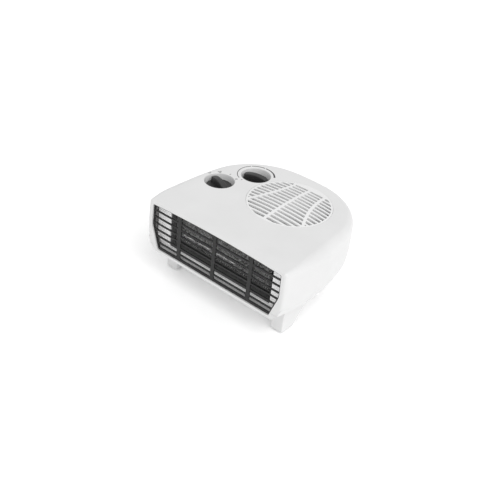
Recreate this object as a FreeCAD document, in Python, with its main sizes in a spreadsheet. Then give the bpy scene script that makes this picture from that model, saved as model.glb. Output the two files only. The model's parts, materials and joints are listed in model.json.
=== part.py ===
import FreeCAD, Part
import math
import os
import Sketcher
from FreeCAD import Placement, Rotation, Vector

# Flat fan convector heater.  Millimetres, +Z up, front (warm air outlet) towards -Y, +X to the
# right as seen from the front.  The origin is on the floor, under the middle of the housing.

DIMENSIONS = (
    ("body_width", 257.0, "housing, widest across"),
    ("body_depth", 225.0, "housing, front to back"),
    ("front_width", 240.6, "housing, width of the flat front"),
    ("widest_from_front", 65.4, "front face to the widest point"),
    ("side_radius", 366.0, "plan radius of the side behind the widest point"),
    ("corner_radius", 105.0, "plan radius of the rear corner"),
    ("back_radius", 392.0, "plan radius of the back"),
    ("crown_height", 124.5, "middle of the top above the floor"),
    ("crown_radius", 8000.0, "radius of the nearly flat top"),
    ("widest_height", 82.0, "height of the widest section"),
    ("waist_height", 61.0, "height where the sides turn inwards"),
    ("seam_height", 51.0, "joint line of the two covers"),
    ("base_height", 41.4, "underside of the bottom cover"),
    ("base_inset", 14.0, "how far the underside is inside the widest section"),
    ("seam_inset", 5.0, "how far the joint line is inside the widest section"),
    ("waist_inset", 1.5, "how far the waist is inside the widest section"),
    ("draft_inset", 1.5, "how far the top is inside the widest section"),
    ("wall", 2.5, "wall of the covers"),
    ("front_wall", 5.0, "wall of the front frame"),
    ("shell_gap", 0.3, "joint gap between separate pieces"),
    ("crease_radius", 249.0, "plan radius of the crease on the top"),
    ("crease_centre", 139.5, "distance of the crease centre behind the middle"),
    ("crease_slope", 0.09, "fall of the top in front of the crease"),
    ("opening_top", 116.4, "outlet opening, top corners"),
    ("opening_arch", 120.0, "outlet opening, middle of the top edge"),
    ("opening_kink", 82.1, "outlet opening, widest height"),
    ("opening_bottom", 45.3, "outlet opening, bottom edge"),
    ("opening_top_half", 112.3, "outlet opening, half width at the top"),
    ("opening_kink_half", 113.6, "outlet opening, half width at the widest"),
    ("opening_bottom_half", 101.2, "outlet opening, half width at the bottom"),
    ("grille_recess", 2.0, "outlet grille behind the front face"),
    ("grille_depth", 3.0, "outlet grille frame, front to back"),
    ("bar_depth", 2.0, "outlet grille bars, front to back"),
    ("bar_height", 2.0, "outlet grille bars, thickness"),
    ("bar_pitch", 10.1, "outlet grille bars, spacing"),
    ("bar_first", 55.2, "outlet grille, underside of the lowest bar"),
    ("frame_width", 2.1, "outlet grille, width of its frame"),
    ("lowest_slot", 4.0, "outlet grille, lowest slots above the opening's bottom edge"),
    ("rib_width", 6.0, "outlet grille ribs, width"),
    ("rib_pitch", 62.7, "outlet grille ribs, spacing"),
    ("fan_x", 21.0, "fan axis to the right of the middle"),
    ("fan_y", 23.8, "fan axis behind the middle"),
    ("inlet_radius", 59.3, "barred part of the inlet grille"),
    ("inlet_rim", 62.0, "outside of the inlet grille"),
    ("inlet_crown", 3.5, "rise of the inlet grille"),
    ("inlet_pitch", 7.86, "inlet bars, spacing"),
    ("inlet_bar", 3.2, "inlet bars, width"),
    ("inlet_bar_depth", 2.2, "inlet bars, depth below the rim"),
    ("inlet_collar_depth", 9.0, "collar of the inlet grille, depth below the rim"),
    ("inlet_rib", 4.2, "inlet ribs, width"),
    ("inlet_rib_radius", 185.0, "inlet side ribs, plan radius"),
    ("inlet_rib_offset", 26.0, "inlet side ribs, nearest to the middle rib"),
    ("inlet_rib_bend", 54.2, "inlet side ribs, nearest point behind the fan axis"),
    ("function_x", -86.9, "function knob axis"),
    ("function_y", -3.5, "function knob axis"),
    ("thermostat_x", -61.6, "thermostat knob axis"),
    ("thermostat_y", 50.1, "thermostat knob axis"),
    ("well_radius", 22.6, "knob well, at the top"),
    ("well_floor_radius", 20.0, "knob well, at its floor"),
    ("well_floor", 113.0, "floor of the knob wells above the ground"),
    ("knob_radius", 19.4, "knob disc"),
    ("knob_disc", 2.2, "knob disc thickness"),
    ("knob_length", 37.5, "knob grip, length"),
    ("knob_width", 9.6, "knob grip, width"),
    ("knob_fall", 3.5, "knob grip, fall of its arched top at the ends"),
    ("knob_top", 125.6, "top of the knob grips above the ground"),
    ("spindle_radius", 3.0, "control spindles"),
    ("running_fit", 0.05, "radial clearance of shafts in their bearings"),
    ("foot_inner", 88.0, "front feet, inner side from the middle"),
    ("foot_outer", 108.2, "front feet, outer side from the middle"),
    ("foot_front", 29.3, "front feet behind the front face"),
    ("foot_length", 25.0, "front feet, length on the ground"),
    ("foot_slope", 36.0, "front feet, length of the sloping back"),
    ("rear_foot_inner", 46.0, "rear feet, inner side from the middle"),
    ("rear_foot_y", 72.0, "rear feet, back edge behind the middle"),
    ("pad_height", 1.6, "rubber pads, thickness"),
    ("baffle_depth", 14.5, "baffle plate behind the front face"),
    ("baffle_half", 114.5, "baffle plate, half width"),
    ("mouth_half", 91.2, "duct mouth, half width"),
    ("mouth_bottom", 50.0, "duct mouth, bottom"),
    ("mouth_top", 112.0, "duct mouth, top"),
    ("duct_back", 58.0, "back edge of the duct in front of the middle"),
    ("board_pitch", 12.0, "mica boards, spacing"),
    ("board_first", 60.6, "mica boards, lowest board"),
    ("impeller_radius", 56.0, "impeller"),
    ("impeller_bottom", 86.0, "impeller back plate above the ground"),
    ("impeller_height", 23.0, "impeller"),
    ("shaft_radius", 2.5, "motor shaft"),
    ("stator_bottom", 58.0, "stator stack above the ground"),
    ("stator_height", 16.0, "stator stack"),
    ("rotor_radius", 16.2, "rotor"),
    ("cord_hole_x", -36.0, "cord gland axis"),
    ("cord_hole_radius", 5.2, "hole of the cord gland in the covers"),
)


class Size:
    """A length together with the spreadsheet expression that gives it."""

    def __init__(self, value, text):
        self.value = value
        self.text = text

    def __add__(self, other):
        return Size(self.value + number(other), "(%s + %s)" % (self.text, text(other)))

    def __radd__(self, other):
        return Size(number(other) + self.value, "(%s + %s)" % (text(other), self.text))

    def __sub__(self, other):
        return Size(self.value - number(other), "(%s - %s)" % (self.text, text(other)))

    def __rsub__(self, other):
        return Size(number(other) - self.value, "(%s - %s)" % (text(other), self.text))

    def __mul__(self, other):
        return Size(self.value * number(other), "(%s * %s)" % (self.text, text(other)))

    def __rmul__(self, other):
        return Size(number(other) * self.value, "(%s * %s)" % (text(other), self.text))

    def __truediv__(self, other):
        return Size(self.value / number(other), "(%s / %s)" % (self.text, text(other)))

    def __neg__(self):
        return Size(-self.value, "(-1 * %s)" % self.text)


def number(size):
    return size.value if isinstance(size, Size) else float(size)


def text(size):
    return size.text if isinstance(size, Size) else "%.6g" % size


def make_sheet():
    """The spreadsheet of driving dimensions: name, number and meaning on each row."""
    table = doc.addObject("Spreadsheet::Sheet", "Dimensions")
    for row, (alias, value, meaning) in enumerate(DIMENSIONS, start=1):
        table.set("A%d" % row, alias)
        table.set("B%d" % row, "%.6g" % value)
        table.set("C%d" % row, meaning)
        table.setAlias("B%d" % row, alias)
    doc.recompute()
    return {alias: Size(float(table.get(alias)), "Dimensions." + alias) for alias, _, _ in DIMENSIONS}


doc = FreeCAD.newDocument("fan_heater")
size = make_sheet()
parts = []


# Helpers for PartDesign bodies

def bind(thing, prop, length):
    thing.setExpression(prop, text(length))


def place(thing, x=0, y=0, z=0, turn=0):
    """Put a sub-part at its place; the lengths stay bound to the sheet."""
    thing.Placement = Placement(Vector(number(x), number(y), number(z)), Rotation(Vector(0, 0, 1), turn))
    bind(thing, "Placement.Base.x", x)
    bind(thing, "Placement.Base.y", y)
    bind(thing, "Placement.Base.z", z)


def new_body(label):
    body = doc.addObject("PartDesign::Body", label)
    body.Label = label
    parts.append(body)
    return body


def origin_plane(body, role):
    return [feature for feature in body.Origin.OriginFeatures if feature.Role == role][0]


def new_sketch(body, role="XY_Plane", offset=0):
    """A sketch on one of the body's own origin planes, moved along its normal."""
    sketch = body.newObject("Sketcher::SketchObject", body.Name + "_sketch")
    sketch.AttachmentSupport = [(origin_plane(body, role), "")]
    sketch.MapMode = "FlatFace"
    bind(sketch, "AttachmentOffset.Base.z", offset)
    return sketch


def add_constraint(sketch, kind, *values):
    """A dimension whose last value is a length of the sheet."""
    length = values[-1]
    index = sketch.addConstraint(Sketcher.Constraint(kind, *values[:-1], number(length)))
    if isinstance(length, Size):
        sketch.setExpression("Constraints[%d]" % index, length.text)


def circle(sketch, x, y, radius):
    ring = sketch.addGeometry(Part.Circle(Vector(number(x), number(y), 0), Vector(0, 0, 1), number(radius)))
    add_constraint(sketch, "Radius", ring, radius)
    add_constraint(sketch, "DistanceX", -1, 1, ring, 3, x)
    add_constraint(sketch, "DistanceY", -1, 1, ring, 3, y)


def polygon(sketch, corners):
    """A closed outline; each corner is dimensioned from the sketch origin."""
    points = [Vector(number(x), number(y), 0) for x, y in corners]
    lines = []
    for start, end in zip(points, points[1:] + points[:1]):
        lines.append(sketch.addGeometry(Part.LineSegment(start, end)))
    for line, following in zip(lines, lines[1:] + lines[:1]):
        sketch.addConstraint(Sketcher.Constraint("Coincident", line, 2, following, 1))
    for line, (x, y) in zip(lines, corners):
        add_constraint(sketch, "DistanceX", -1, 1, line, 1, x)
        add_constraint(sketch, "DistanceY", -1, 1, line, 1, y)


def rectangle(sketch, x0, y0, x1, y1):
    polygon(sketch, [(x0, y0), (x1, y0), (x1, y1), (x0, y1)])


def slot(sketch, half, radius):
    """A bar with round ends along the sketch's X axis."""
    straight = half - radius
    lines = []
    arcs = []
    for side in (1, -1):
        centre = Vector(number(straight) * side, 0, 0)
        ring = Part.Circle(centre, Vector(0, 0, 1), number(radius))
        turn = 0 if side > 0 else math.pi
        arcs.append(sketch.addGeometry(Part.ArcOfCircle(ring, turn - math.pi / 2, turn + math.pi / 2)))
        start = centre + Vector(0, number(radius) * side, 0)
        end = Vector(-centre.x, start.y, 0)
        lines.append(sketch.addGeometry(Part.LineSegment(start, end)))
    for i, side in enumerate((1, -1)):
        sketch.addConstraint(Sketcher.Constraint("Coincident", arcs[i], 2, lines[i], 1))
        sketch.addConstraint(Sketcher.Constraint("Coincident", lines[i], 2, arcs[1 - i], 1))
        add_constraint(sketch, "Radius", arcs[i], radius)
        add_constraint(sketch, "DistanceX", -1, 1, arcs[i], 3, straight * side)
        add_constraint(sketch, "DistanceY", -1, 1, arcs[i], 3, 0)
        add_constraint(sketch, "DistanceX", -1, 1, lines[i], 1, straight * side)
        add_constraint(sketch, "DistanceX", -1, 1, lines[i], 2, straight * -side)


def above_arch(sketch, half, high, rise, sky):
    """The region between an arc, whose ends are at a height and whose middle is higher, and a top line."""
    corners = [(half, high), (half, sky), (-half, sky), (-half, high)]
    points = [Vector(number(x), number(y), 0) for x, y in corners]
    lines = [sketch.addGeometry(Part.LineSegment(a, b)) for a, b in zip(points, points[1:])]
    radius = (half * half + rise * rise) / (rise * 2)
    middle = number(high) + number(rise) - number(radius)
    reach = math.asin(number(half) / number(radius))
    ring = Part.Circle(Vector(0, middle, 0), Vector(0, 0, 1), number(radius))
    top = sketch.addGeometry(Part.ArcOfCircle(ring, math.pi / 2 - reach, math.pi / 2 + reach))
    for line, following in zip(lines, lines[1:]):
        sketch.addConstraint(Sketcher.Constraint("Coincident", line, 2, following, 1))
    sketch.addConstraint(Sketcher.Constraint("Coincident", lines[-1], 2, top, 2))
    sketch.addConstraint(Sketcher.Constraint("Coincident", top, 1, lines[0], 1))
    for line, (x, y) in zip(lines, corners):
        add_constraint(sketch, "DistanceX", -1, 1, line, 1, x)
        add_constraint(sketch, "DistanceY", -1, 1, line, 1, y)
    add_constraint(sketch, "DistanceX", -1, 1, lines[-1], 2, -half)
    add_constraint(sketch, "DistanceY", -1, 1, lines[-1], 2, high)
    add_constraint(sketch, "Radius", top, radius)


def pad(body, sketch, length, both_ways=False, downwards=False):
    feature = body.newObject("PartDesign::Pad", body.Name + "_pad")
    feature.Profile = sketch
    bind(feature, "Length", length)
    feature.Midplane = both_ways
    feature.Reversed = downwards
    sketch.Visibility = False
    doc.recompute()
    return feature


def pocket(body, sketch, length=0, upwards=False, both_ways=False):
    """Cut a sketch into the body; with no length it goes right through.  It must remove something."""
    before = body.Shape.Volume
    feature = body.newObject("PartDesign::Pocket", body.Name + "_pocket")
    feature.Profile = sketch
    if number(length) > 0:
        bind(feature, "Length", length)
    else:
        feature.Type = "ThroughAll"
    feature.Midplane = both_ways
    feature.Reversed = upwards
    sketch.Visibility = False
    doc.recompute()
    if body.Shape.Volume > before - 0.01:
        raise RuntimeError("a pocket of %s cuts nothing" % body.Label)
    return feature


def revolve(body, sketch):
    """Turn a sketch of the XZ plane about the vertical axis."""
    feature = body.newObject("PartDesign::Revolution", body.Name + "_revolution")
    feature.Profile = sketch
    feature.ReferenceAxis = (sketch, ["V_Axis"])
    feature.Angle = 360
    sketch.Visibility = False
    doc.recompute()
    return feature


def edges_where(shape, test):
    return ["Edge%d" % (i + 1) for i, edge in enumerate(shape.Edges) if test(edge)]


def fillet(body, radius, test):
    """Round the edges of the body that pass a test."""
    base = body.Tip
    names = edges_where(base.Shape, test)
    feature = body.newObject("PartDesign::Fillet", body.Name + "_fillet")
    feature.Base = (base, names)
    bind(feature, "Radius", radius)
    doc.recompute()
    return feature


def ring_pattern(body, feature, count):
    """Repeat a feature around the vertical axis of the body."""
    pattern = body.newObject("PartDesign::PolarPattern", body.Name + "_pattern")
    pattern.Originals = [feature]
    pattern.Axis = (origin_axis(body, "Z_Axis"), [""])
    pattern.Angle = 360
    pattern.Occurrences = count
    body.Tip = pattern
    doc.recompute()
    return pattern


def origin_axis(body, role):
    return [feature for feature in body.Origin.OriginFeatures if feature.Role == role][0]


def upright(edge):
    """True for a straight edge along Z."""
    if not isinstance(edge.Curve, Part.Line):
        return False
    return abs(edge.tangentAt(edge.FirstParameter).z) > 0.999


def new_feature(label, shape, x=0, y=0, z=0):
    """A sub-part whose shape is worked out by this file's own code."""
    feature = doc.addObject("Part::Feature", label)
    feature.Label = label
    feature.Shape = shape.removeSplitter()
    place(feature, x, y, z)
    parts.append(feature)
    return feature


def box(x0, y0, z0, x1, y1, z1):
    return Part.makeBox(x1 - x0, y1 - y0, z1 - z0, Vector(x0, y0, z0))


def rod(x, y, z0, z1, radius):
    return Part.makeCylinder(radius, z1 - z0, Vector(x, y, z0))


def union(shapes):
    return shapes[0].fuse(shapes[1:]) if len(shapes) > 1 else shapes[0]


# Plain numbers of the sheet, for the shapes that are worked out here

FRONT = -size["body_depth"].value / 2
BACK = size["body_depth"].value / 2
WIDEST_Y = FRONT + size["widest_from_front"].value
SEAM = size["seam_height"].value
BASE = size["base_height"].value
WALL = size["wall"].value
GAP = size["shell_gap"].value
FAN = Vector(size["fan_x"].value, size["fan_y"].value, 0)
SKY = 140.0
INLET_RIM_TOP = size["crown_height"].value - 0.3
INLET_SEAT_BOTTOM = 112.5
WELL_WALL = 2.8
MOTOR_FOOT = size["stator_bottom"].value - 1.5
SPINDLE_TOP = size["well_floor"] + 8.6
CLAMP_Y = 84.0
CLAMP_TOP = SEAM + 4.0
ELEMENT_FRONT = -88.0
ELEMENT_BACK = -62.0
BOARDS = 5
BOARD_THICKNESS = 0.8
OUTLET_ROWS = 7
PLENTY = 200.0
DUCT_WALL = 1.5
BAFFLE_THICKNESS = 2.0
CUP_WALL = 2.0
LIP_ROUNDING = 1.2
FOOT_WALL = 2.5
PAD_MARGIN = 2.0
PILOT_RADIUS = 1.75
SCREW_HOLE_RADIUS = 2.0
COUNTERBORE_RADIUS = 4.2
COUNTERBORE_DEPTH = 4.5
POST_RADIUS = 4.0
BOSS_RADIUS = 5.0
COLLAR_WALL = 0.8
RIM_THICKNESS = 3.6
CONTROL_PLATE_GAP = 3.0
SWITCH_DEPTH = 17.0
THERMOSTAT_DEPTH = 12.0
BLADE_HALF_WIDTH = 3.1
BLADE_HALF_THICKNESS = 0.4
SCROLL_WALL = 1.8

FLOOR_SLOT_ROWS = (-40.0, -32.0, -24.0, 24.0, 32.0, 40.0)
CONTROL_SCREWS = (-9.5, 9.5)
MOTOR_SCREWS = (-26.0, 26.0)
CLAMP_SCREWS = (-8.0, 8.0)
FOOT_SCREWS = ((98.1, -50.0), (-98.1, -50.0), (56.1, 39.0), (-56.1, 39.0))
HOUSING_SCREWS = ((105.0, -80.0), (-105.0, -80.0), (98.0, 40.0), (-98.0, 35.0), (-56.0, 82.0))
CONTROLS = (
    (size["function_x"], size["function_y"]),
    (size["thermostat_x"], size["thermostat_y"]),
)


def arc(centre, radius, start, end):
    """Arc in plan, between two angles in radians."""
    return Part.ArcOfCircle(Part.Circle(centre, Vector(0, 0, 1), radius), start, end).toShape()


def mirror_x(shape):
    return shape.mirror(Vector(0, 0, 0), Vector(1, 0, 0))


def plan_wire(height, inset, front_inset=0.0):
    """Plan outline of the housing: flat front, bowed sides, round corners and back."""
    half = size["body_width"].value / 2
    narrowing = half - size["front_width"].value / 2
    length = size["widest_from_front"].value
    bow_radius = (length ** 2 + narrowing ** 2) / (2 * narrowing)
    side_radius = size["side_radius"].value
    corner_radius = size["corner_radius"].value
    back_radius = size["back_radius"].value
    bow_centre = Vector(half - bow_radius, WIDEST_Y, height)
    side_centre = Vector(half - side_radius, WIDEST_Y, height)
    back_centre = Vector(0, BACK - back_radius, height)
    reach = side_radius - corner_radius
    swing = back_radius - corner_radius
    line = back_centre - side_centre
    along = (line.Length ** 2 + reach ** 2 - swing ** 2) / (2 * line.Length)
    across = math.sqrt(reach ** 2 - along ** 2)
    direction = Vector(line).normalize()
    sideways = Vector(-direction.y, direction.x, 0)
    corner_centre = side_centre + direction * along + sideways * across
    front = FRONT + front_inset
    side_angle = math.atan2(corner_centre.y - side_centre.y, corner_centre.x - side_centre.x)
    back_angle = math.atan2(corner_centre.y - back_centre.y, corner_centre.x - back_centre.x)
    front_angle = math.asin((front - WIDEST_Y) / (bow_radius - inset))
    right = [
        arc(bow_centre, bow_radius - inset, front_angle, 0),
        arc(side_centre, side_radius - inset, 0, side_angle),
        arc(corner_centre, corner_radius - inset, side_angle, back_angle),
    ]
    back = arc(back_centre, back_radius - inset, back_angle, math.pi - back_angle)
    corner = right[0].Vertexes[0].Point
    front_line = Part.LineSegment(Vector(-corner.x, corner.y, height), corner).toShape()
    edges = [front_line] + right + [back] + [mirror_x(edge) for edge in reversed(right)]
    return Part.Wire(Part.__sortEdges__(edges))


def side_inset(height):
    """How far the housing's side is inside its widest section at a height above the waist."""
    widest = size["widest_height"].value
    if height < widest:
        span = widest - size["waist_height"].value
        return size["waist_inset"].value * ((widest - height) / span) ** 2
    span = size["crown_height"].value - widest
    return size["draft_inset"].value * ((height - widest) / span) ** 2


def housing_block(label, inset, front_inset, drop):
    """The whole housing as one block, made smaller by an inset on every side."""
    waist = size["waist_height"].value
    levels = [waist, waist + 10, size["widest_height"].value, 95.0, 108.0, 121.0, SKY]
    upper = Part.makeLoft([plan_wire(z, inset + side_inset(z), front_inset) for z in levels], True, False)
    lower_levels = (
        (BASE, size["base_inset"].value),
        (SEAM, size["seam_inset"].value),
        (waist, size["waist_inset"].value),
    )
    lower = Part.makeLoft([plan_wire(z, inset + d, front_inset) for z, d in lower_levels], True, True)
    crown_radius = size["crown_radius"].value
    crown_top = size["crown_height"].value - drop
    ball = Part.makeSphere(crown_radius, Vector(0, 0, crown_top - crown_radius))
    ball.rotate(Vector(0, 0, crown_top - crown_radius), Vector(1, 0, 0), 90)
    upper = upper.common(ball)
    crease = size["crease_radius"].value
    slope = size["crease_slope"].value
    crease_height = crown_top - 1.0
    inner = crease - 40
    outer = crease + 60
    profile = Part.makePolygon([
        Vector(inner, 0, crease_height + (crease - inner) * slope),
        Vector(outer, 0, crease_height - (outer - crease) * slope),
        Vector(outer, 0, SKY + 10),
        Vector(inner, 0, SKY + 10),
        Vector(inner, 0, crease_height + (crease - inner) * slope),
    ])
    ring = Part.Face(profile).revolve(Vector(0, 0, 0), Vector(0, 0, 1), 360)
    ring.translate(Vector(0, size["crease_centre"].value, 0))
    upper = upper.cut(ring)
    sharp = doc.addObject("Part::Feature", label + "_sharp")
    sharp.Shape = upper
    rounded = doc.addObject("Part::Fillet", label + "_rounded")
    rounded.Base = sharp
    rounded.Edges = shoulder_edges(upper, inset)
    doc.recompute()
    return rounded.Shape, lower


def shoulder_radius(point, inset):
    """Radius of the top edge: tight at the front corners, widest at the sides, softer behind."""
    if point.y < WIDEST_Y:
        return 4.0 + 10.0 * (point.y - FRONT) / (WIDEST_Y - FRONT) - inset
    return 14.0 - 3.5 * (point.y - WIDEST_Y) / (BACK - WIDEST_Y) - inset


def shoulder_edges(shape, inset):
    """Edges where the top meets the sides and the back, each with its two radii."""
    found = []
    for i, edge in enumerate(shape.Edges):
        corners = [vertex.Point for vertex in edge.Vertexes]
        middle = edge.valueAt((edge.FirstParameter + edge.LastParameter) / 2)
        on_front = max(point.y for point in corners + [middle]) < FRONT + 6
        on_top = min(point.z for point in corners + [middle]) > 110
        half = size["body_width"].value / 2
        inside = abs(middle.x) < half * 0.5 and middle.y < WIDEST_Y
        if on_top and not on_front and not inside:
            found.append((i + 1, shoulder_radius(corners[0], inset), shoulder_radius(corners[-1], inset)))
        if on_front and not on_top and middle.z > 70 and inset == 0:
            found.append((i + 1, 4.0, 4.0))
        if on_front and on_top and inset == 0:
            found.append((i + 1, 3.0, 3.0))
    return found


# Housing

def opening_block(inset, front_y, back_y):
    """The outlet opening as a block between two planes, made smaller by an inset."""
    bottom = size["opening_bottom"].value
    kink = size["opening_kink"].value
    top = size["opening_top"].value
    bottom_half = size["opening_bottom_half"].value
    kink_half = size["opening_kink_half"].value
    top_half = size["opening_top_half"].value
    corners = [Vector(x, front_y, z) for x, z in (
        (-top_half, top), (-kink_half, kink), (-bottom_half, bottom),
        (bottom_half, bottom), (kink_half, kink), (top_half, top),
    )]
    edges = [Part.makeLine(a, b) for a, b in zip(corners, corners[1:])]
    middle = Vector(0, front_y, size["opening_arch"].value)
    edges.append(Part.Arc(corners[-1], middle, corners[0]).toShape())
    wire = Part.Wire(edges)
    if inset > 0:
        wire = wire.makeOffset2D(-inset)
    block = Part.Face(wire).extrude(Vector(0, back_y - front_y, 0))
    corner_radii = ((3.0, bottom - 2, bottom + 8), (24.0, kink - 8, kink + 8), (2.5, top - 8, top + 2))
    for radius, low, high in corner_radii:
        sharp = [edge for edge in block.Edges if lies_along_y(edge) and low < edge.CenterOfMass.z < high]
        block = block.makeFillet(radius, sharp)
    return block


def lies_along_y(edge):
    start = edge.valueAt(edge.FirstParameter)
    end = edge.valueAt(edge.LastParameter)
    return abs(end.y - start.y) > 0.99 * edge.Length


def make_covers():
    """Top and bottom cover: one block hollowed out, split at the seam."""
    upper, lower = housing_block("outer_block", 0.0, 0.0, 0.0)
    upper_room, lower_room = housing_block("inner_block", WALL, size["front_wall"].value, WALL)
    outlet = opening_block(0.0, FRONT - 5, FRONT + 12)
    above_seam = box(-PLENTY, -PLENTY, SEAM, PLENTY, PLENTY, SKY + 20)
    cord_hole = Part.makeCylinder(
        size["cord_hole_radius"].value, 40,
        Vector(size["cord_hole_x"].value, BACK - 30, SEAM), Vector(0, 1, 0))

    top = upper.fuse(lower.common(above_seam))
    top = top.cut(upper_room.fuse(lower_room.common(above_seam)))
    top = top.fuse([control_well(x.value, y.value) for x, y in CONTROLS] + [inlet_seat()])
    posts = [rod(x, y, SEAM, size["crown_height"].value - WALL, POST_RADIUS) for x, y in HOUSING_SCREWS]
    top = top.fuse(posts)
    cuts = [outlet, cord_hole]
    cuts += [well_room(x.value, y.value) for x, y in CONTROLS]
    cuts += [rod(FAN.x, FAN.y, 100, SKY, size["inlet_rim"].value + GAP).cut(inlet_ledge())]
    cuts += [rod(x, y, SEAM - 1, SEAM + 24, PILOT_RADIUS) for x, y in HOUSING_SCREWS]
    top = round_wells(top.cut(cuts))
    new_feature("top_cover", top)

    floor_top = BASE + WALL
    below_seam = box(-PLENTY, -PLENTY, floor_top, PLENTY, PLENTY, SEAM + 1)
    bottom = lower.common(box(-PLENTY, -PLENTY, BASE - 1, PLENTY, PLENTY, SEAM - GAP))
    bottom = bottom.cut(lower_room.common(below_seam))
    bosses = [rod(x, y, BASE, SEAM - GAP, BOSS_RADIUS) for x, y in HOUSING_SCREWS]
    bosses += [rod(FAN.x + dx, FAN.y, BASE, MOTOR_FOOT - 0.1, BOSS_RADIUS) for dx in MOTOR_SCREWS]
    bottom = bottom.fuse(bosses)
    cuts = [outlet, cord_hole]
    cuts += [rod(x, y, BASE - 1, SEAM + 1, SCREW_HOLE_RADIUS) for x, y in HOUSING_SCREWS]
    counterbore_top = BASE + COUNTERBORE_DEPTH
    cuts += [rod(x, y, BASE - 1, counterbore_top, COUNTERBORE_RADIUS) for x, y in HOUSING_SCREWS]
    cuts += [rod(FAN.x + dx, FAN.y, BASE + 3, MOTOR_FOOT + 1, PILOT_RADIUS) for dx in MOTOR_SCREWS]
    cuts += [rod(x, y, BASE - 1, floor_top + 1, SCREW_HOLE_RADIUS) for x, y in FOOT_SCREWS]
    cuts += floor_slots()
    new_feature("bottom_cover", bottom.cut(cuts))


def control_well(x, y):
    """Cup under the top cover that a knob sits in."""
    floor = size["well_floor"].value
    outer = size["well_radius"].value + CUP_WALL
    return rod(x, y, floor - WELL_WALL, size["crown_height"].value - WALL / 2, outer)


def well_room(x, y):
    """Everything that is cut out of a cup: the well, the spindle hole and the screw holes."""
    floor = size["well_floor"].value
    low = size["well_floor_radius"].value
    flare = (size["well_radius"].value - low) / (size["crown_height"].value - floor)
    room = Part.makeCone(low, low + flare * (SKY - floor), SKY - floor, Vector(x, y, floor))
    holes = [rod(x, y, floor - 5, floor + 1, 4.0)]
    holes += [rod(x + dx, y, floor - 5, floor + 1, 1.6) for dx in CONTROL_SCREWS]
    holes += [rod(x + dx, y, floor - 1.4, floor + 1, 3.0) for dx in CONTROL_SCREWS]
    return room.fuse(holes)


def round_wells(cover):
    """Soft lip around both knob wells."""
    radius = size["well_radius"].value
    lips = []
    for edge in cover.Edges:
        if edge.BoundBox.ZMin < size["crown_height"].value - 2.5:
            continue
        for x, y in CONTROLS:
            ends = edge.valueAt(edge.FirstParameter), edge.valueAt(edge.LastParameter)
            if all(abs(math.hypot(p.x - x.value, p.y - y.value) - radius) < 0.6 for p in ends):
                lips.append(edge)
    return cover.makeFillet(LIP_ROUNDING, lips)


def inlet_seat():
    """Ring under the top cover that carries the inlet grille and guides the air to the fan."""
    outer = size["inlet_rim"].value + CUP_WALL
    return rod(FAN.x, FAN.y, INLET_SEAT_BOTTOM, size["crown_height"].value - WALL / 2, outer)


def inlet_ledge():
    """Ledge that the rim of the inlet grille rests on."""
    outer = size["inlet_rim"].value + GAP
    ledge = rod(FAN.x, FAN.y, INLET_SEAT_BOTTOM, INLET_RIM_TOP - RIM_THICKNESS - 0.1, outer)
    inner = size["inlet_radius"].value + COLLAR_WALL + GAP
    return ledge.cut(rod(FAN.x, FAN.y, INLET_SEAT_BOTTOM, SKY, inner))


def floor_slots():
    """Air slots in the floor under the fan, three in front of the motor and three behind it."""
    half_length = 24.0
    half_width = 1.5
    slots = []
    for row in FLOOR_SLOT_ROWS:
        y = FAN.y + row
        slots.append(box(FAN.x - half_length, y - half_width, BASE - 1,
                         FAN.x + half_length, y + half_width, BASE + WALL + 1))
    return slots


def make_outlet_grille():
    """Dark grille: outer frame, two rows of ribs and seven rows of slots, the lowest rounded."""
    front = FRONT + size["grille_recess"].value
    frame_back = front + size["grille_depth"].value
    bars_back = front + size["bar_depth"].value
    plate = opening_block(GAP, front, frame_back)
    frame_width = size["frame_width"].value
    inner = opening_block(frame_width, front - 1, frame_back + 1)
    lattice = opening_block(frame_width / 2, front, bars_back)
    lowest = size["opening_bottom"].value + size["lowest_slot"].value
    pitch = size["bar_pitch"].value
    first = size["bar_first"].value
    bar = size["bar_height"].value
    rib = size["rib_width"].value / 2
    ribs = [-PLENTY, -size["rib_pitch"].value, 0, size["rib_pitch"].value, PLENTY]
    windows = []
    for row in range(OUTLET_ROWS):
        low = first + (row - 1) * pitch + bar if row > 0 else lowest
        high = first + row * pitch if row < OUTLET_ROWS - 1 else SKY
        for left, right in zip(ribs, ribs[1:]):
            window = box(left + rib, front - 1, low, right - rib, frame_back + 1, high).common(inner)
            if row == 0:
                window = rounded_slot(window)
            windows.append(window)
    grille = plate.cut(inner).fuse(lattice).cut(windows)
    new_feature("outlet_grille", grille)


def rounded_slot(window):
    """Round the ends of a slot of the lowest row."""
    corners = [edge for edge in window.Edges if lies_along_y(edge)]
    bounds = window.BoundBox
    middle = bounds.Center.x
    ends = [edge for edge in corners if abs(abs(edge.CenterOfMass.x - middle) - bounds.XLength / 2) < 4]
    return window.makeFillet(0.47 * bounds.ZLength, ends) if len(ends) == 4 else window


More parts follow.
